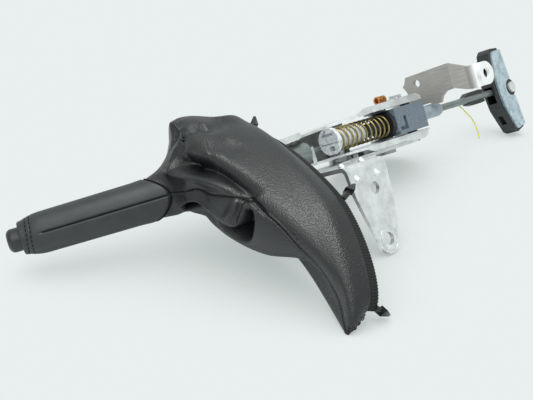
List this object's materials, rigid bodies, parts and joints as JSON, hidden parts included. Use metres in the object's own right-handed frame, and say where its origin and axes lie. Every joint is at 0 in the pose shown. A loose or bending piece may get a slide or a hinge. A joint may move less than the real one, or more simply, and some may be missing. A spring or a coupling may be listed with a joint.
{
  "type": "parking brake lever",
  "caption": "Car parking brake lever with leather grip and gaiter, ratchet, spring cable adjuster, pull rod and cable equaliser.",
  "frame": {"origin": "centre of the inner front bolt hole, on the mounting face", "axes": "+X from the grip towards the cable equaliser, +Y the car's up (mounting faces look to -Y), +Z along the lever pivot, so the lever lies on its side"},
  "size_m": [0.4882, 0.2218, 0.157],
  "materials": {
    "zinc": "bright zinc plated pressed steel, satin",
    "dull_steel": "bare grey rolled steel plate, dull",
    "pin_steel": "turned steel, fine machining",
    "black_plastic": "moulded black plastic, fine grain",
    "slate_plastic": "moulded slate grey plastic, slightly worn",
    "white_plastic": "moulded off-white nylon",
    "leather": "pebbled black leather, soft sheen",
    "hem_web": "woven black hem band",
    "spring_gold": "yellow chromated spring wire",
    "rod_steel": "dark phosphated steel rod",
    "copper": "copper eyelet",
    "blue_plastic": "pale blue moulded plastic",
    "pale_zinc": "blue-white zinc plated steel, lightly scratched",
    "tie_yellow": "yellow-green plastic filament"
  },
  "bodies": {
    "bracket": {"bracket": "zinc", "rear_leg": "dull_steel", "ratchet_sector": "pin_steel", "pivot_pin": "pin_steel", "pivot_clip": "pin_steel"},
    "lever": {"lever_channel": "zinc", "lever_tube": "rod_steel", "pivot_bush": "white_plastic", "pawl_pin": "pin_steel", "grip_core": "black_plastic", "grip_leather": "leather", "grip_ring": "leather", "gaiter": "leather", "hem_band": "hem_web", "hem_clips": "black_plastic", "spring_stop": "rod_steel", "switch_body": "blue_plastic", "switch_contact": "copper", "button_spring": "pin_steel"},
    "button": {"button": "black_plastic", "push_rod": "rod_steel"},
    "release": {"release_rod": "rod_steel"},
    "pawl": {"pawl": "pin_steel"},
    "adjuster": {"adjuster_housing": "slate_plastic", "adjuster_nose": "slate_plastic", "spring_washer": "black_plastic", "guide_sleeve": "black_plastic", "adjuster_spring": "spring_gold"},
    "rod": {"pull_rod": "rod_steel", "spring_seat": "white_plastic", "rod_clip": "black_plastic", "wire": "tie_yellow"},
    "equaliser": {"equaliser_plate_near": "pale_zinc", "equaliser_plate_far": "pale_zinc", "equaliser_insert": "black_plastic", "equaliser_pin": "pale_zinc"}
  },
  "joints": [
    {"name": "lever_pull", "type": "hinge", "parent": "bracket", "child": "lever", "pos_m": [0.125, 0.09, 0.039], "axis": [0, 0, -1], "range_deg": [0, 30]},
    {"name": "button_press", "type": "slide", "parent": "lever", "child": "button", "axis": [0.866, -0.5, 0], "range_m": [0, 0.005], "stiffness_N_per_m": 600, "springref_m": -0.005, "deforming": ["button_spring"]},
    {"name": "release_slide", "type": "slide", "parent": "lever", "child": "release", "axis": [1, 0, 0], "range_m": [0, 0.006]},
    {"name": "pawl_swing", "type": "hinge", "parent": "lever", "child": "pawl", "pos_m": [0.067, 0.094, 0.039], "axis": [0, 0, 1], "range_deg": [0, 17]},
    {"name": "adjuster_swing", "type": "hinge", "parent": "lever", "child": "adjuster", "pos_m": [0.13, 0.06, 0.039], "axis": [0, 0, 1], "range_deg": [0, 31]},
    {"name": "rod_slide", "type": "slide", "parent": "adjuster", "child": "rod", "axis": [1, 0, 0], "range_m": [0, 0.028], "stiffness_N_per_m": 900, "springref_m": -0.02, "deforming": ["adjuster_spring"]},
    {"name": "equaliser_tilt", "type": "hinge", "parent": "rod", "child": "equaliser", "pos_m": [0.277, 0.06, 0.039], "axis": [0, 1, 0], "range_deg": [-3, 12]}
  ],
  "couplings": [
    {"joint": "release_slide", "follows": "button_press", "ratio": 1.1547},
    {"joint": "pawl_swing", "follows": "button_press", "rad_per_m": 57.735},
    {"joint": "adjuster_swing", "follows": "lever_pull", "ratio": 1}
  ]
}
